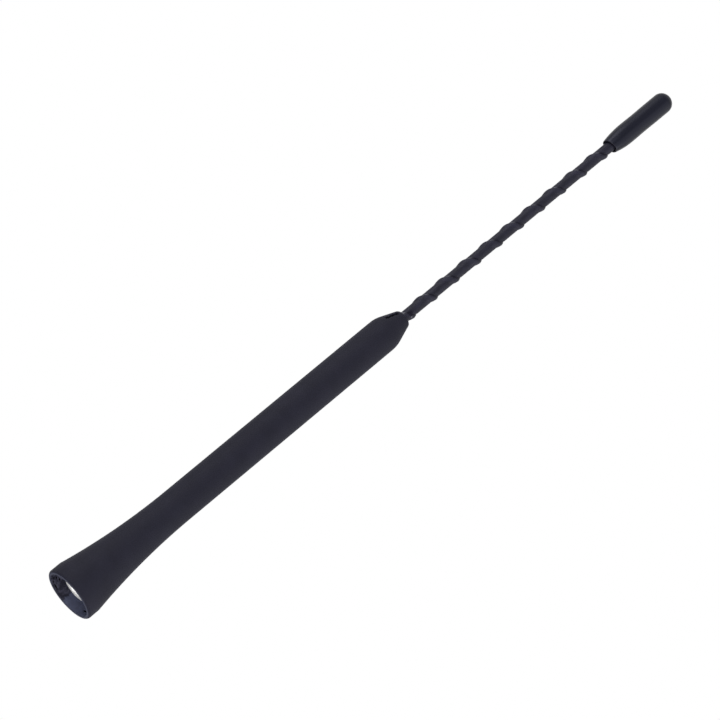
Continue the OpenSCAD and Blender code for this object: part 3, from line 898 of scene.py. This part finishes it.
def cap_outline(size):
    """Outer line of the cap, from its mouth to the tip."""
    grow = size.radius - size.mouth
    sweep = (size.swell ** 2 + grow ** 2) / (2 * grow)
    lean = math.asin(size.swell / sweep)
    line = arc(size.mouth - size.lip, CAP_MOUTH + size.lip, size.lip, -math.pi / 2, -0.2, 5)
    start = -lean * (1 - size.lip / size.swell)
    line += arc(size.radius - sweep, CAP_MOUTH + size.swell, sweep, start, 0, 22)[1:]
    waist = [(size.radius - size.waist / 2 * (1 - math.cos(TURN * i / 18)),
              CAP_MOUTH + size.swell + size.waist_length * i / 18) for i in range(1, 18)]
    return line + waist + arc(0, CAP_TOP - size.radius, size.radius, 0, math.pi / 2, 26)[:-1]


def make_cap(settings):
    """The moulded cap with its thin mouth and the bore over the whip."""
    size = settings.cap
    angles = np.linspace(0, TURN, 112, endpoint=False)
    bore_end = CAP_TOP - size.end
    rows = [(size.bore * 0.5, bore_end), (size.bore, bore_end), (size.bore, CAP_MOUTH + size.lip),
            (size.bore + size.lip * 0.3, CAP_MOUTH + size.lip * 0.4)] + cap_outline(size)
    sway = 0.5 * np.sin(2 * angles + 0.7) + 0.5 * np.sin(3 * angles + 2.1)
    rise = size.skew / 2 * (1 + np.cos(angles))
    shaped = [(r + sway * 0.012 * MM * soft_step(CAP_MOUTH, CAP_MOUTH + 8 * MM, z) * (r > size.bore),
               z + rise * soft_step(CAP_MOUTH + 7 * MM, CAP_MOUTH, z)) for r, z in rows]
    piece = turned("cap_moulding", shaped, angles, (bore_end, CAP_TOP))
    # Share of painted light at the mouth's edge
    mouth = soft_step(CAP_MOUTH + 0.3 * MM, CAP_MOUTH + 0.1 * MM, np.array([z for _, z in rows]))
    point_values(piece, "mouth", np.append(np.repeat(mouth, len(angles)), (0.0, 0.0)))
    keep(piece, cap_finish(settings.finishes), "cap_plastic", "tip_cap")


def dress_core(settings):
    """Finishes of the solids that the sheath, tube and cap cover."""
    tints = settings.finishes
    plastics = {
        "core_rod": ("glass_fibre", tints.glass, 0.14, 500.0, 9000.0, 0.000015, 0.45, 0.4, (1.0, 1.0, 0.03)),
        "coil_former": ("former_plastic", tints.nylon, 0.08, 300.0, 4200.0, 0.00001, 0.5, 0.4),
        "coil_tube": ("tube_plastic", tints.tube, 0.15, 350.0, 6000.0, 0.00001, 0.45, 0.35),
        "tip_adhesive": ("adhesive", tints.adhesive, 0.12, 600.0, 2600.0, 0.00003, 0.3, 0.5),
    }
    finishes = {name: moulded(*values)[0] for name, values in plastics.items()}
    finishes["solder_joint"] = solder_finish(tints.solder)
    for name, finish in finishes.items():
        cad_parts[name].data.materials.clear()
        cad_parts[name].data.materials.append(finish)


# Stage

# Soft lamps: name, place in metres, width, height and power in watts
LAMPS = (
    ("lamp_left", (-0.953, -0.55, 0.14), 0.6, 0.6, 2.6),
    ("lamp_front", (-0.465, -0.997, 0.14), 0.6, 0.6, 2.8),
    ("lamp_right", (1.083, -0.191, 0.14), 0.6, 0.6, 3.2),
    ("lamp_below", (0.542, -0.454, -0.703), 0.6, 0.6, 3.2),
    ("lamp_high_left", (-0.8, -0.37, 0.46), 0.5, 0.5, 2.4),
    ("lamp_high_right", (0.8, -0.55, 0.6), 1.4, 0.9, 3.6),
    ("lamp_foot", (0.12, -0.25, -0.8), 0.3, 0.3, 3.0),
)

# Width of the camera's sensor in millimetres, and of the picture that the rim's place is given in
SENSOR = 36
PICTURE = 720


def view_axes(size):
    """The camera's right, up and back directions in the frame."""
    ct, st = math.cos(size.slant), math.sin(size.slant)
    ca, sa = math.cos(size.tilt), math.sin(size.tilt)
    return Matrix(((st, -ct, 0.0), (-sa * ct, -sa * st, -ca), (ca * ct, ca * st, -sa)))


def make_stage(settings):
    """Camera, pale floor, soft lamps and white surroundings."""
    size = settings.stage
    scene = bpy.context.scene
    axes = view_axes(size)
    focus = size.lens / SENSOR * PICTURE
    rim = Vector((size.rim_x / focus, size.rim_y / focus, -1.0)) * size.distance
    camera = linked("camera", bpy.data.cameras.new("camera"))
    camera.data.lens = size.lens
    camera.data.sensor_width = SENSOR
    camera.matrix_world = Matrix.Translation(axes @ -rim) @ axes.to_4x4()
    scene.camera = camera

    plane = bpy.data.meshes.new("floor")
    turns = np.linspace(0, TURN, 64, endpoint=False)
    ring = [(4 * math.cos(a), 4 * math.sin(a), size.floor_height) for a in turns]
    plane.from_pydata(ring, [], [tuple(range(len(ring)))])
    floor = linked("floor", plane)
    pale, tree, shader, where = surface("floor_paper")
    tree.links.new(blended(tree, clouds(tree, where, 30.0), (0.86, 0.86, 0.86, 1.0), (0.88, 0.88, 0.88, 1.0)),
                   shader.inputs["Base Color"])
    shader.inputs["Roughness"].default_value = 0.9
    shader.inputs["Specular IOR Level"].default_value = 0.1
    plane.materials.append(pale)

    middle = Vector((0, 0, CAP_TOP / 2))
    for name, place, wide, tall, power in LAMPS:
        light = bpy.data.lights.new(name, "AREA")
        light.shape = "RECTANGLE"
        light.size, light.size_y, light.energy = wide, tall, power
        lamp = linked(name, light)
        lamp.location = place
        lamp.rotation_euler = (middle - Vector(place)).to_track_quat("-Z", "Y").to_euler()

    world = bpy.data.worlds.new("surroundings")
    scene.world = world
    world.use_nodes = True
    tree = world.node_tree
    ray = node(tree, "ShaderNodeLightPath").outputs
    seen = calc(tree, "MAXIMUM", ray["Is Camera Ray"],
                calc(tree, "MAXIMUM", ray["Is Glossy Ray"], ray["Is Transmission Ray"]))
    back = next(n for n in tree.nodes if n.type == "BACKGROUND")
    back.inputs["Color"].default_value = (1.0, 1.0, 1.0, 1.0)
    tree.links.new(between(tree, seen, size.sky, 1.0, 0.0, 1.0), back.inputs["Strength"])
    scene.view_settings.view_transform = "Standard"


# Operators and panel

class AERIAL_OT_sheath(bpy.types.Operator):
    """Make the moulded sheath with its mouth, split cone and nose"""
    bl_idname = "aerial.sheath"
    bl_label = "Make Sheath"

    def execute(self, context):
        make_sheath(context.scene.aerial)
        return {"FINISHED"}


class AERIAL_OT_ferrule(bpy.types.Operator):
    """Make the threaded ferrule"""
    bl_idname = "aerial.ferrule"
    bl_label = "Make Ferrule"

    def execute(self, context):
        make_ferrule(context.scene.aerial)
        return {"FINISHED"}


class AERIAL_OT_sleeve(bpy.types.Operator):
    """Make the ridged sleeve of the whip"""
    bl_idname = "aerial.sleeve"
    bl_label = "Make Whip Sleeve"

    def execute(self, context):
        make_sleeve(context.scene.aerial)
        return {"FINISHED"}


class AERIAL_OT_wires(bpy.types.Operator):
    """Make the whip's wire and the loading coil"""
    bl_idname = "aerial.wires"
    bl_label = "Make Wires"

    def execute(self, context):
        make_wires(context.scene.aerial)
        return {"FINISHED"}


class AERIAL_OT_cap(bpy.types.Operator):
    """Make the tip cap"""
    bl_idname = "aerial.cap"
    bl_label = "Make Cap"

    def execute(self, context):
        make_cap(context.scene.aerial)
        return {"FINISHED"}


class AERIAL_OT_core(bpy.types.Operator):
    """Give the covered solids their finishes"""
    bl_idname = "aerial.core"
    bl_label = "Finish Covered Parts"

    def execute(self, context):
        dress_core(context.scene.aerial)
        return {"FINISHED"}


class AERIAL_OT_stage(bpy.types.Operator):
    """Make the camera, floor and lamps"""
    bl_idname = "aerial.stage"
    bl_label = "Make Stage"

    def execute(self, context):
        make_stage(context.scene.aerial)
        return {"FINISHED"}


OPERATORS = (AERIAL_OT_sheath, AERIAL_OT_ferrule, AERIAL_OT_sleeve, AERIAL_OT_wires, AERIAL_OT_cap,
             AERIAL_OT_core, AERIAL_OT_stage)


class AERIAL_PT_panel(bpy.types.Panel):
    """Sizes, colours and steps of the aerial"""
    bl_idname = "AERIAL_PT_panel"
    bl_label = "Car Mast Aerial"
    bl_space_type = "VIEW_3D"
    bl_region_type = "UI"
    bl_category = "Aerial"

    def draw(self, context):
        settings = context.scene.aerial
        for part in ("sheath", "ferrule", "whip", "cap", "finishes", "stage"):
            box = self.layout.box()
            box.label(text=part.capitalize())
            group = getattr(settings, part)
            for name in group.__annotations__:
                box.prop(group, name)
        for operator in OPERATORS:
            self.layout.operator(operator.bl_idname)


CLASSES = (AERIAL_PG_sheath, AERIAL_PG_ferrule, AERIAL_PG_whip, AERIAL_PG_cap, AERIAL_PG_finishes,
           AERIAL_PG_stage, AERIAL_PG_aerial) + OPERATORS + (AERIAL_PT_panel,)


def register():
    """Registers the classes and the scene's settings."""
    for cls in CLASSES:
        bpy.utils.register_class(cls)
    bpy.types.Scene.aerial = PointerProperty(type=AERIAL_PG_aerial)


def unregister():
    """Removes the scene's settings and the classes."""
    del bpy.types.Scene.aerial
    for cls in reversed(CLASSES):
        bpy.utils.unregister_class(cls)


def main():
    """Builds the aerial piece by piece."""
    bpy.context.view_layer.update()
    register()
    for step in OPERATORS:
        group, name = step.bl_idname.split(".")
        getattr(getattr(bpy.ops, group), name)()


if __name__ == "__main__":
    main()
